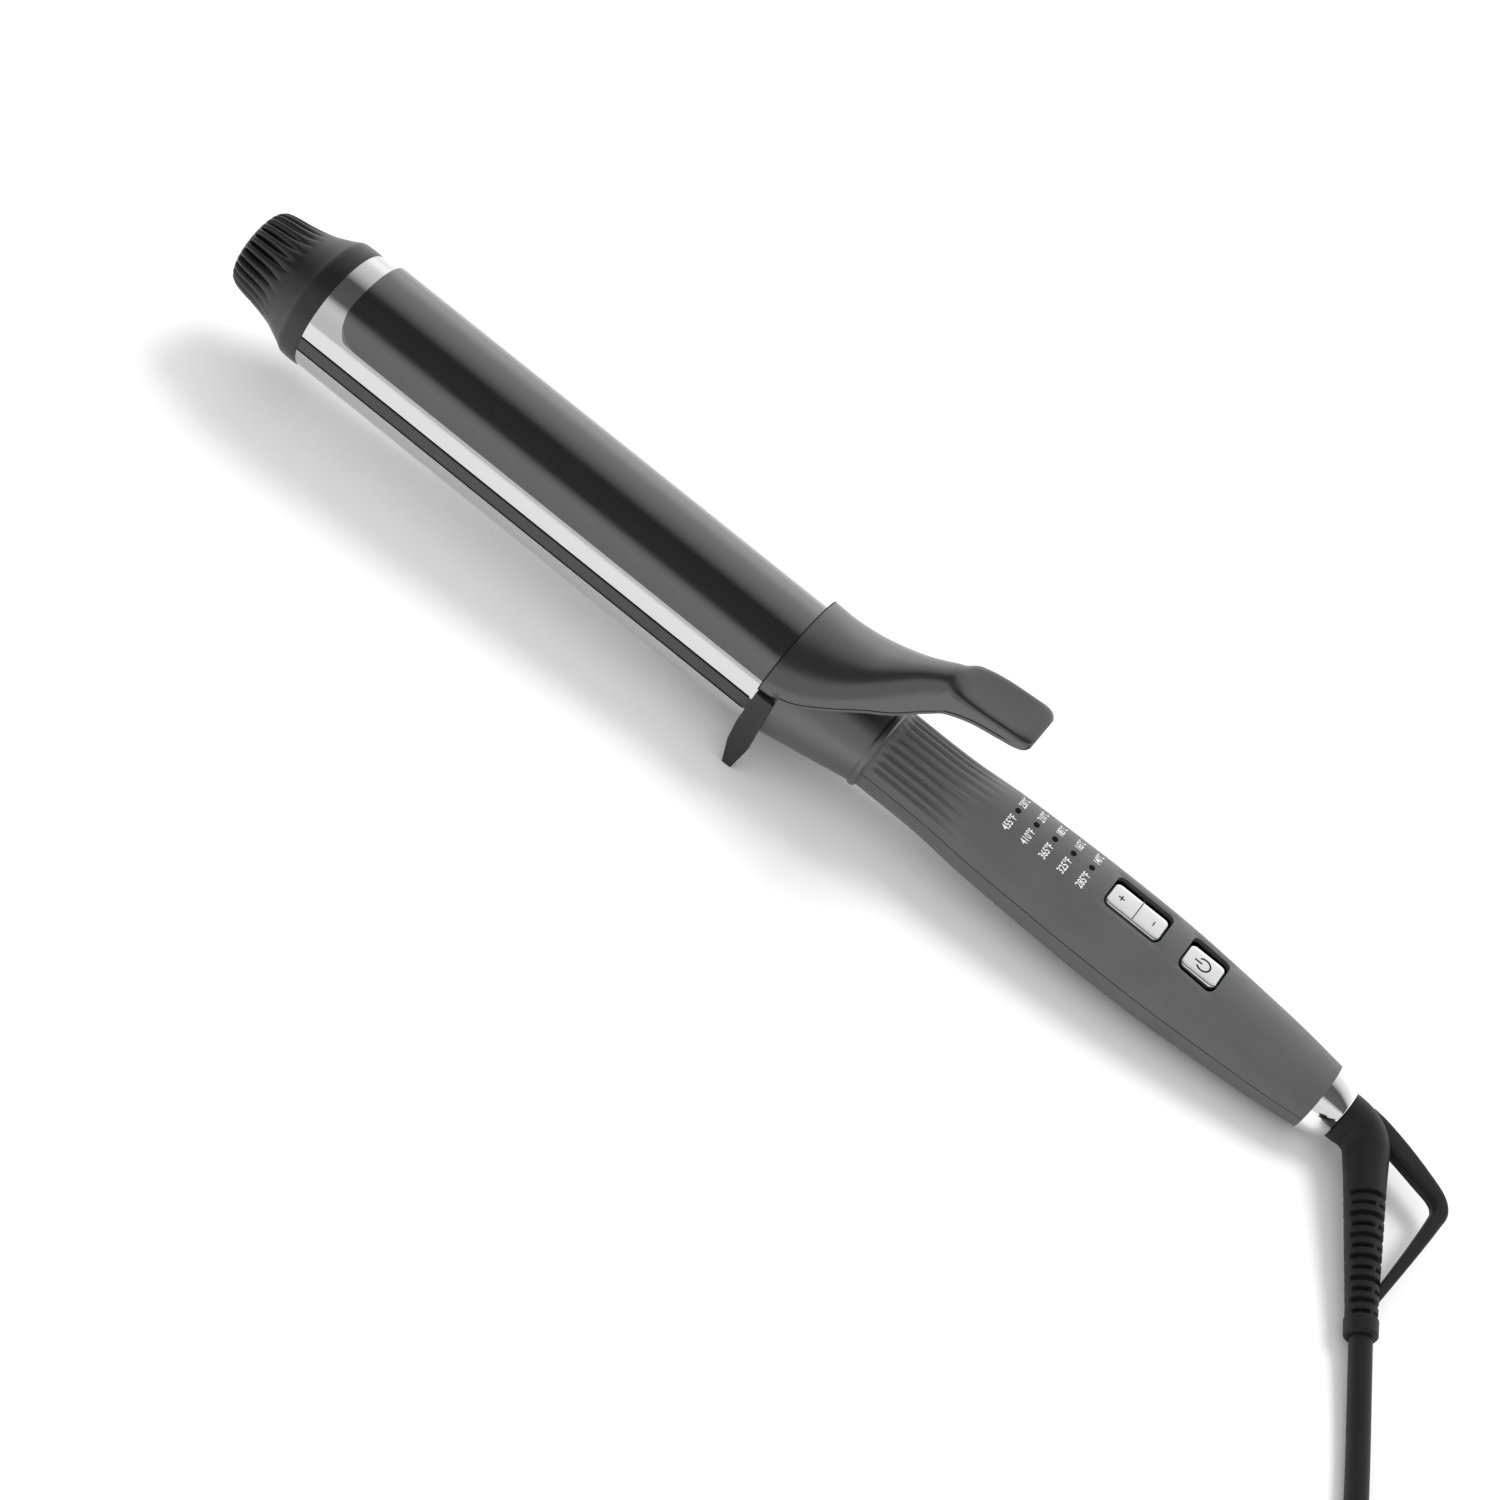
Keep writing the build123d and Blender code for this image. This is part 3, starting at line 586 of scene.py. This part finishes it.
def make_lever_gap_shade():
    """Painted shade: a dark band for the gap where the lever's front edge meets the clamp plate."""
    front = lever_outside(LEVER_START)
    loops = []
    for x in (-0.15, 0.2):
        outer = [(x, y * 1.002, z * 1.002) for _, y, z in front]
        inner = [(x, y * 0.99, z * 0.99) for _, y, z in reversed(front)]
        loops.append(outer + inner)
    mesh = loops_mesh("lever_gap_shade", loops)
    add_object("lever_gap_shade", mesh, "clamp", "lever_plastic", material=MARK_AND_SHADE)


# ---- handle ----
FLUTE_PITCH = 12.5          # degrees
FLUTE_DEPTH = 1.0
FLUTES_START = (36.2, 38.5)
FLUTES_FADE = (50.0, 72.0)
FLUTES_CLEAR = (9.0, 20.0)  # degrees from the parting line
RECESS_DEPTH = 0.45
RECESS_REACH = 1.6
WINDOW_CORNER = 2.2
CUT_LOW, CUT_HIGH = 8.0, 22.0


def handle_radius(x):
    return spline_value(HANDLE_OUTLINE, x)


def recess(x, y):
    """How far the surface dips round the buttons."""
    depth = 0.0
    for start, end, half, _ in (ROCKER, POWER):
        out_x = max(start - x, x - end, 0.0)
        out_y = max(abs(y) - half - BUTTON_SIDE_GAP, 0.0)
        away = math.hypot(out_x, out_y)
        depth = max(depth, RECESS_DEPTH * (1 - smoothstep(0.0, RECESS_REACH, away)))
    return depth


def flute(x, angle):
    """The depth of the grip's lengthwise grooves."""
    fade = smoothstep(*FLUTES_START, x) * (1 - smoothstep(*FLUTES_FADE, x))
    edge = math.degrees(min(angle, math.pi - angle))
    fade *= smoothstep(*FLUTES_CLEAR, edge)
    wave = 0.5 - 0.5 * math.cos(math.tau * math.degrees(angle) / FLUTE_PITCH)
    return FLUTE_DEPTH * fade * wave ** 1.5


def shell_loop(x, angles, shaped):
    """The section of one half of the handle: out over the surface and back inside it."""
    radius = handle_radius(x)
    loop = []
    for angle in angles:
        dip = 0.0
        if shaped:
            dip = flute(x, angle) + recess(x, radius * math.cos(angle))
        loop.append(around_axis(x, radius - dip, angle))
    for angle in reversed(angles):
        loop.append(around_axis(x, radius - HANDLE_WALL, angle))
    return loop


def cutter_mesh(outline, x):
    """A straight cutter through the handle's upper side, with that outline about x."""
    loops = []
    for z in (CUT_LOW, CUT_HIGH):
        loops.append([(x + px, py, z) for px, py in outline])
    return loops_mesh("cutter", loops)


def window_cutter(button):
    start, end, half, _ = button
    outline = rounded_rectangle((end - start) / 2, half + BUTTON_SIDE_GAP, WINDOW_CORNER)
    return cutter_mesh(outline, (start + end) / 2)


def lens_cutter(x, count=20):
    turns = [math.tau * k / count for k in range(count)]
    return cutter_mesh([(LENS_R * math.cos(turn), LENS_R * math.sin(turn)) for turn in turns], x)


def make_upper_shell():
    angles = [math.radians(a) for a in steps(PARTING_GAP, 180 - PARTING_GAP, 288)]
    loops = [shell_loop(x, angles, True) for x in steps(HANDLE_START, HANDLE_END, 150)]
    cutters = [window_cutter(ROCKER), window_cutter(POWER)] + [lens_cutter(x) for x in LED_X]
    mesh = cut(loops_mesh("fluted_shell", loops), cutters)
    shell = add_object("fluted_shell", mesh, "handle", "handle_plastic")
    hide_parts("upper_handle_shell")


def make_lower_shell():
    angles = [math.radians(a) for a in steps(180 + PARTING_GAP, 360 - PARTING_GAP, 96)]
    loops = [shell_loop(x, angles, False) for x in steps(HANDLE_START, HANDLE_END, 100)]
    mesh = loops_mesh("lower_shell", loops)
    shell = add_object("lower_shell", mesh, "handle", "handle_plastic")
    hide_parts("lower_handle_shell")


# ---- printing ----
SCALE = [
    ("455°F", "230°C"), ("410°F", "210°C"), ("365°F", "185°C"), ("325°F", "165°C"),
    ("285°F", "140°C"),
]
SCALE_ANGLES = (71.0, 109.0)    # where the F and the C numbers stand
LETTER_HEIGHT = 2.3
LETTER_SQUEEZE = 0.62
LETTER_WEIGHT = 0.012           # outline growth, as a share of the font's size
CAPITAL_SHARE = 0.7             # of the font's size


def text_mesh(text, height, squeeze):
    """Flat letters as a mesh, in millimetres, with their middle line at y = 0."""
    curve = bpy.data.curves.new("letters", "FONT")
    curve.body = text
    curve.size = height / CAPITAL_SHARE
    curve.align_x = "CENTER"
    curve.offset = LETTER_WEIGHT * curve.size
    curve.resolution_u = 3
    letters = bpy.data.objects.new("letters", curve)
    bpy.context.scene.collection.objects.link(letters)
    bpy.context.view_layer.update()
    evaluated = letters.evaluated_get(bpy.context.evaluated_depsgraph_get())
    mesh = bpy.data.meshes.new_from_object(evaluated)
    bpy.data.objects.remove(letters)
    for vertex in mesh.vertices:
        vertex.co.x *= squeeze
        vertex.co.y -= height / 2
    return mesh


def wrap_on_handle(mesh, x, angle, lift=0.05):
    """Lays flat marks on the handle: they read round it, with their tops towards the tip."""
    work = bmesh.new()
    work.from_mesh(mesh)
    long_edges = [edge for edge in work.edges if edge.calc_length() > 1.2]
    bmesh.ops.subdivide_edges(work, edges=long_edges, cuts=1)
    bmesh.ops.triangulate(work, faces=work.faces)
    base = handle_radius(x)
    for vertex in work.verts:
        at_x = x - vertex.co.y
        radius = handle_radius(at_x) + lift
        turn = math.radians(angle) + vertex.co.x / base
        vertex.co = Vector(around_axis(at_x, radius, turn))
    work.to_mesh(mesh)
    work.free()
    mesh.transform(IRON)
    return mesh


def make_scale():
    for k, (x, labels) in enumerate(zip(LED_X, SCALE)):
        for label, angle, unit in zip(labels, SCALE_ANGLES, ("f", "c")):
            mesh = wrap_on_handle(text_mesh(label, LETTER_HEIGHT, LETTER_SQUEEZE), x, angle)
            add_object(f"scale_{unit}_{k}", mesh, "handle", "handle_plastic", material=PRINT)


# ---- buttons ----
BUTTON_BASE = 9.4
BUTTON_HALF_WIDTH = 4.6
BUTTON_SHIFT = -0.5         # towards -Y in its well
BUTTON_SINK = 0.75
BUTTON_TILT = 0.06          # fall per millimetre towards +Y
BUTTON_END_GAP = 0.3
BUTTON_CORNER = 2.0
CROWN_R = 45.0
# how far in from the button's side, and how far down from its top
BUTTON_EDGE = [
    (0.0, 0.9), (0.05, 0.5), (0.15, 0.25), (0.35, 0.07), (0.6, 0.0), (1.6, 0.0), (2.6, 0.0),
    (3.6, 0.0),
]


def crown_height(button, y):
    """The top of a button, slightly crowned and lower on the far side of its well."""
    return button[3] - BUTTON_SINK - BUTTON_TILT * y - (y - BUTTON_SHIFT) ** 2 / (2 * CROWN_R)


def button_loop(button, inset, down):
    """The button's outline, drawn in by inset and that far below its crown."""
    start, end = button[:2]
    half_length = (end - start) / 2 - BUTTON_END_GAP - inset
    corner = max(BUTTON_CORNER - inset, 0.3)
    loop = []
    for x, y in rounded_rectangle(half_length, BUTTON_HALF_WIDTH - inset, corner):
        y += BUTTON_SHIFT
        loop.append(((start + end) / 2 + x, y, crown_height(button, y) - down))
    return loop


def make_button(name, button, body, node):
    loops = [button_loop(button, inset, down) for inset, down in BUTTON_EDGE]
    base = [(x, y, BUTTON_BASE) for x, y, _ in loops[0]]
    piece = add_object(name, loops_mesh(name, [base] + loops), body, "button_chrome", 60)
    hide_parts(node)


def bar(length, width):
    """A straight bar's outline, with its length along the iron."""
    x, y = length / 2, width / 2
    return [(-x, -y), (x, -y), (x, y), (-x, y)]


MARK_SINK, MARK_RISE = 0.05, 0.06


def mark_mesh(outlines, button, x):
    """Raised flat marks on top of a button, from closed (x, y) outlines."""
    points = []
    faces = []
    for outline in outlines:
        first = len(points)
        count = len(outline)
        for height in (-MARK_SINK, MARK_RISE):
            for px, py in outline:
                y = BUTTON_SHIFT + py
                points.append((x + px, y, crown_height(button, y) + height))
        faces.append(tuple(first + k for k in range(count)))
        faces.append(tuple(first + count + k for k in range(count)))
        for k in range(count):
            a, b = first + k, first + (k + 1) % count
            faces.append((a, b, b + count, a + count))
    return mesh_from("mark", points, faces)


def strip_outline(length, width, count=12):
    """A long bar across the button, with enough points to follow its crown."""
    sides = steps(-length / 2, length / 2, count)
    return [(-width / 2, y) for y in sides] + [(width / 2, y) for y in reversed(sides)]


def arc_outline(radius, width, half_turn, count=24):
    """A thick arc's outline, open on the -X side."""
    outer = []
    inner = []
    for angle in steps(-half_turn, half_turn, count):
        along, across = math.cos(math.radians(angle)), math.sin(math.radians(angle))
        outer.append(((radius + width / 2) * along, (radius + width / 2) * across))
        inner.append(((radius - width / 2) * along, (radius - width / 2) * across))
    return outer + inner[::-1]


PLUS_SIZE = 2.0
MINUS_SIZE = 1.8
LINE_WIDTH = 0.35
DIVIDER_SIZE = (7.6, 0.28)
SIGN_OFFSET = 5.5           # of plus and minus from the rocker's middle
POWER_RING = (2.1, 0.5, 140.0)      # radius, line width, half its turn in degrees
POWER_STEM = (2.4, 0.45)
STEM_OFFSET = -1.7


def add_mark(name, outlines, button, shift, body):
    x = (button[0] + button[1]) / 2 + shift
    add_object(name, mark_mesh(outlines, button, x), body, "button_chrome", material=MARK_AND_SHADE)


def make_marks():
    plus = [bar(PLUS_SIZE, LINE_WIDTH), bar(LINE_WIDTH, PLUS_SIZE)]
    minus = [bar(LINE_WIDTH, MINUS_SIZE)]
    stem = [(x + STEM_OFFSET, y) for x, y in bar(*POWER_STEM)]
    add_mark("mark_plus", plus, ROCKER, -SIGN_OFFSET, "rocker")
    add_mark("mark_minus", minus, ROCKER, SIGN_OFFSET, "rocker")
    add_mark("mark_divider", [strip_outline(*DIVIDER_SIZE)], ROCKER, 0.0, "rocker")
    add_mark("mark_power", [arc_outline(*POWER_RING), stem], POWER, 0.0, "power")


# ---- chrome end ring ----
RING_PROFILE = [
    (HANDLE_END, 8.3), (HANDLE_END, 10.5), (188.0, 10.4), (189.5, 10.15), (191.0, 9.75),
    (192.5, 9.2), (194.3, 8.35), (194.6, 8.15), (194.7, 7.9), (194.7, 6.6), (182.5, 6.6),
    (182.5, 8.3), (HANDLE_END, 8.3),
]


def make_end_ring():
    loops = [circle(x, radius, 120) for x, radius in RING_PROFILE]
    mesh = loops_mesh("chrome_ring", loops, closed_ends=False)
    ring = add_object("chrome_ring", mesh, "handle", "bright_chrome", 40)
    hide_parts("end_ring")


# ---- strain relief and hang loop ----
def bend_frame(distance):
    """Where the boot's middle line is, and how far it has turned, by the length from its start."""
    straight = ELBOW_X - BOOT_START - BEND_TANGENT
    arc = BEND_RADIUS * BEND
    if distance < straight:
        place = (BOOT_START + distance, 0.0)
        turn = 0.0
    elif distance < straight + arc:
        turn = (distance - straight) / BEND_RADIUS
        side = -BEND_RADIUS * (1 - math.cos(turn))
        place = (BOOT_START + straight + BEND_RADIUS * math.sin(turn), side)
    else:
        turn = BEND
        rest = distance - straight - arc + BEND_TANGENT
        place = (ELBOW_X + rest * math.cos(BEND), -rest * math.sin(BEND))
    return place, turn


def in_bend_plane(x, y, z):
    """Leans a point that is drawn flat into the plane the boot bends in."""
    c, s = math.cos(BEND_TILT), math.sin(BEND_TILT)
    return (x, y * c - z * s, y * s + z * c)


BOOT_TOTAL = ELBOW_X - BOOT_START + BOOT_LENGTH - 2 * BEND_TANGENT + BEND_RADIUS * BEND
BOOT_PROFILE = [
    (0.0, 7.3), (2.5, 7.3), (4.5, 7.1), (8.0, 6.8), (14.0, 6.4), (22.0, 5.9), (40.0, 5.2),
    (62.0, 4.4), (80.0, 4.3),
]
SLOT_PITCH = 6.3
SLOT_COUNT = 6
SLOT_DEPTH = 1.5
SLOTS_CLEAR = 4.0           # from the last long slot to the collar
LONG_SLOT = (0.60, 0.85)    # half widths, at the bottom and at the top
SHORT_SLOT = (0.45, 0.65)
COLLAR_LENGTH = 5.2
COLLAR_RISE = 0.35
COLLAR_SLOPE = 0.2
END_ROUND = (0.7, 0.5)      # length and depth


def slot_depth(distance, angle):
    """The boot's slots: long ones across its top and bottom faces and out to the loop's side,
    and between them a short one on each face and one at the side."""
    last = BOOT_TOTAL - COLLAR_LENGTH - SLOTS_CLEAR
    k = (distance - last) / SLOT_PITCH + SLOT_COUNT - 1
    if k < -0.3 or k > SLOT_COUNT - 0.2:
        return 0.0
    side = math.cos(angle)
    from_long = abs(k - round(k)) * SLOT_PITCH
    from_short = abs(k - math.floor(k) - 0.5) * SLOT_PITCH
    long = 1 - smoothstep(*LONG_SLOT, from_long)
    long *= smoothstep(-0.95, -0.90, side)
    short = 1 - smoothstep(*SHORT_SLOT, from_short)
    on_face = smoothstep(-0.90, -0.84, side) * (1 - smoothstep(0.03, 0.11, side))
    at_side = smoothstep(0.35, 0.43, side)
    return SLOT_DEPTH * max(long, short * max(on_face, at_side))


def boot_radius(distance):
    """The boot's radius before its slots are cut, with the collar and the rounded end."""
    collar = BOOT_TOTAL - COLLAR_LENGTH
    rise = COLLAR_RISE * smoothstep(collar - COLLAR_SLOPE, collar + COLLAR_SLOPE, distance)
    end = END_ROUND[1] * smoothstep(BOOT_TOTAL - END_ROUND[0], BOOT_TOTAL, distance)
    return spline_value(BOOT_PROFILE, distance) + rise - end


def make_boot():
    around = 96
    loops = []
    for distance in steps(0.0, BOOT_TOTAL, 420):
        place, turn = bend_frame(distance)
        radius = boot_radius(distance)
        loop = []
        for k in range(around):
            angle = math.tau * k / around
            r = radius - slot_depth(distance, angle)
            side = r * math.cos(angle)
            x = place[0] + side * math.sin(turn)
            y = place[1] + side * math.cos(turn)
            loop.append(in_bend_plane(x, y, r * math.sin(angle)))
        loops.append(loop)
    mesh = loops_mesh("ribbed_boot", loops)
    boot = add_object("ribbed_boot", mesh, "cord_swivel", "boot_rubber", 50)
    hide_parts("strain_relief")


# x, y in the bend's plane, then the strap's thickness there and its width across the plane
LOOP_ROUTE = [
    (201.0, 4.6, 6.6, 5.2), (206.0, 3.9, 6.8, 5.2), (214.0, 2.1, 6.6, 4.8),
    (222.0, -0.2, 6.0, 4.6), (228.6, -2.5, 5.1, 4.4), (231.4, -5.6, 4.6, 4.3),
    (231.6, -10.0, 4.0, 4.1), (231.0, -20.0, 3.5, 3.8), (230.0, -32.0, 3.0, 3.5),
    (229.0, -43.0, 2.6, 3.2),
]
STRAP_CORNER = 0.32         # of its smaller size


def make_hang_loop():
    """The strap from the boot's root to near its end, which gets thinner on the way."""
    count = len(LOOP_ROUTE) - 1
    by_step = []
    for column in range(4):
        by_step.append([(k, row[column]) for k, row in enumerate(LOOP_ROUTE)])
    loops = []
    for t in steps(0.0, count, 110):
        x, y, thick, across = [spline_value(column, t) for column in by_step]
        ahead = [spline_value(column, min(t + 0.05, count)) for column in by_step[:2]]
        behind = [spline_value(column, max(t - 0.05, 0.0)) for column in by_step[:2]]
        along = Vector((ahead[0] - behind[0], ahead[1] - behind[1])).normalized()
        loop = []
        corner = min(thick, across) * STRAP_CORNER
        for side, up in rounded_rectangle(thick / 2, across / 2, corner, 4):
            loop.append(in_bend_plane(x - along.y * side, y + along.x * side, up))
        loops.append(loop)
    mesh = loops_mesh("tapered_loop", loops)
    strap = add_object("tapered_loop", mesh, "cord_swivel", "boot_rubber")
    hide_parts("hang_loop")


# ---- stage ----
def make_camera():
    data = bpy.data.cameras.new("camera")
    data.lens = CAMERA_LENS
    data.sensor_width = SENSOR
    data.clip_start = 0.01
    camera = bpy.data.objects.new("camera", data)
    bpy.context.scene.collection.objects.link(camera)
    turn = Matrix.Rotation(math.radians(CAMERA_YAW), 4, "Z")
    turn = turn @ Matrix.Rotation(math.radians(90 - CAMERA_ELEVATION), 4, "X")
    turn = turn @ Matrix.Rotation(math.radians(CAMERA_ROLL), 4, "Z")
    place = IRON @ Vector(CAMERA_PLACE)
    camera.matrix_world = Matrix.Translation(place) @ Matrix.Rotation(PITCH, 4, "Y") @ turn
    bpy.context.scene.camera = camera


FLOOR_HALF = 60.0           # metres, so that its edge is never seen


def make_floor():
    mesh = bpy.data.meshes.new("floor")
    corners = [(x * FLOOR_HALF, y * FLOOR_HALF, 0) for x, y in ((-1, -1), (1, -1), (1, 1), (-1, 1))]
    mesh.from_pydata(corners, [], [(0, 1, 2, 3)])
    made = Nodes("floor_white", (0.86, 0.86, 0.86), 0.9, specular=0.1)
    made.vary_color(made.noise(400.0), 0.004)
    mesh.materials.append(made.material)
    floor = bpy.data.objects.new("floor", mesh)
    bpy.context.scene.collection.objects.link(floor)


# Levels of the sky by the angle from the -Y horizon up over the top. A glossy surface sees
# bright in front, a dark canopy overhead, and bright again behind.
SKY_BANDS = [
    (0.0, 0.76), (25.0, 0.78), (40.0, 0.85), (49.0, 0.72), (59.0, 0.13), (100.0, 0.10),
    (109.0, 0.42), (119.0, 0.66), (130.0, 0.82), (148.0, 1.0), (165.0, 1.45), (180.0, 1.45),
]
SKY_LEVEL = 1.0             # for every other ray


def banded(tree, share, bands):
    """A ramp over half a turn, from (degrees, level) pairs."""
    ramp = tree.nodes.new("ShaderNodeValToRGB")
    tree.links.new(share, ramp.inputs["Fac"])
    elements = ramp.color_ramp.elements
    while len(elements) > 1:
        elements.remove(elements[-1])
    for k, (degrees, level) in enumerate(bands):
        element = elements[0] if k == 0 else elements.new(degrees / 180)
        element.position = degrees / 180
        element.color = (level, level, level, 1.0)
    return ramp.outputs["Color"]


def math_node(tree, operation, *values):
    """A math node's result, from sockets or plain numbers."""
    node = tree.nodes.new("ShaderNodeMath")
    node.operation = operation
    for socket, value in zip(node.inputs, values):
        if isinstance(value, float):
            socket.default_value = value
        else:
            tree.links.new(value, socket)
    return node.outputs["Value"]


def make_world():
    world = bpy.data.worlds.new("studio")
    world.use_nodes = True
    bpy.context.scene.world = world
    tree = world.node_tree
    coordinates = tree.nodes.new("ShaderNodeTexCoord")
    separate = tree.nodes.new("ShaderNodeSeparateXYZ")
    tree.links.new(coordinates.outputs["Generated"], separate.inputs["Vector"])
    front = math_node(tree, "MULTIPLY", separate.outputs["Y"], -1.0)
    angle = math_node(tree, "ARCTAN2", separate.outputs["Z"], front)
    share = math_node(tree, "DIVIDE", angle, math.pi)
    rays = tree.nodes.new("ShaderNodeLightPath")
    mix = tree.nodes.new("ShaderNodeMix")
    mix.data_type = "RGBA"
    tree.links.new(rays.outputs["Is Glossy Ray"], mix.inputs["Factor"])
    mix.inputs["A"].default_value = (SKY_LEVEL, SKY_LEVEL, SKY_LEVEL, 1.0)
    tree.links.new(banded(tree, share, SKY_BANDS), mix.inputs["B"])
    tree.links.new(mix.outputs["Result"], tree.nodes["Background"].inputs["Color"])


KEY_FROM = (0.55, 1.0, 1.7)
KEY_STRENGTH = 1.7
KEY_ANGLE = math.radians(25.0)


def make_key_light():
    """A broad soft light from behind and to the right, which mirrors don't show."""
    data = bpy.data.lights.new("key", "SUN")
    data.energy = KEY_STRENGTH
    data.angle = KEY_ANGLE
    light = bpy.data.objects.new("key", data)
    bpy.context.scene.collection.objects.link(light)
    light.rotation_euler = (-Vector(KEY_FROM)).to_track_quat("-Z", "Y").to_euler()
    light.visible_glossy = False


# ---- the whole scene ----
make_camera()
dress_cad_nodes()
cord = make_cord()
make_cool_tip()
make_strip_seams()
make_thumb_lever()
make_lever_gap_shade()
make_upper_shell()
make_lower_shell()
make_scale()
make_button("chrome_rocker", ROCKER, "rocker", "temperature_rocker")
make_button("chrome_power", POWER, "power", "power_button")
make_marks()
make_end_ring()
make_boot()
make_hang_loop()
make_floor()
make_world()
make_key_light()
bpy.context.scene.view_settings.view_transform = "Standard"
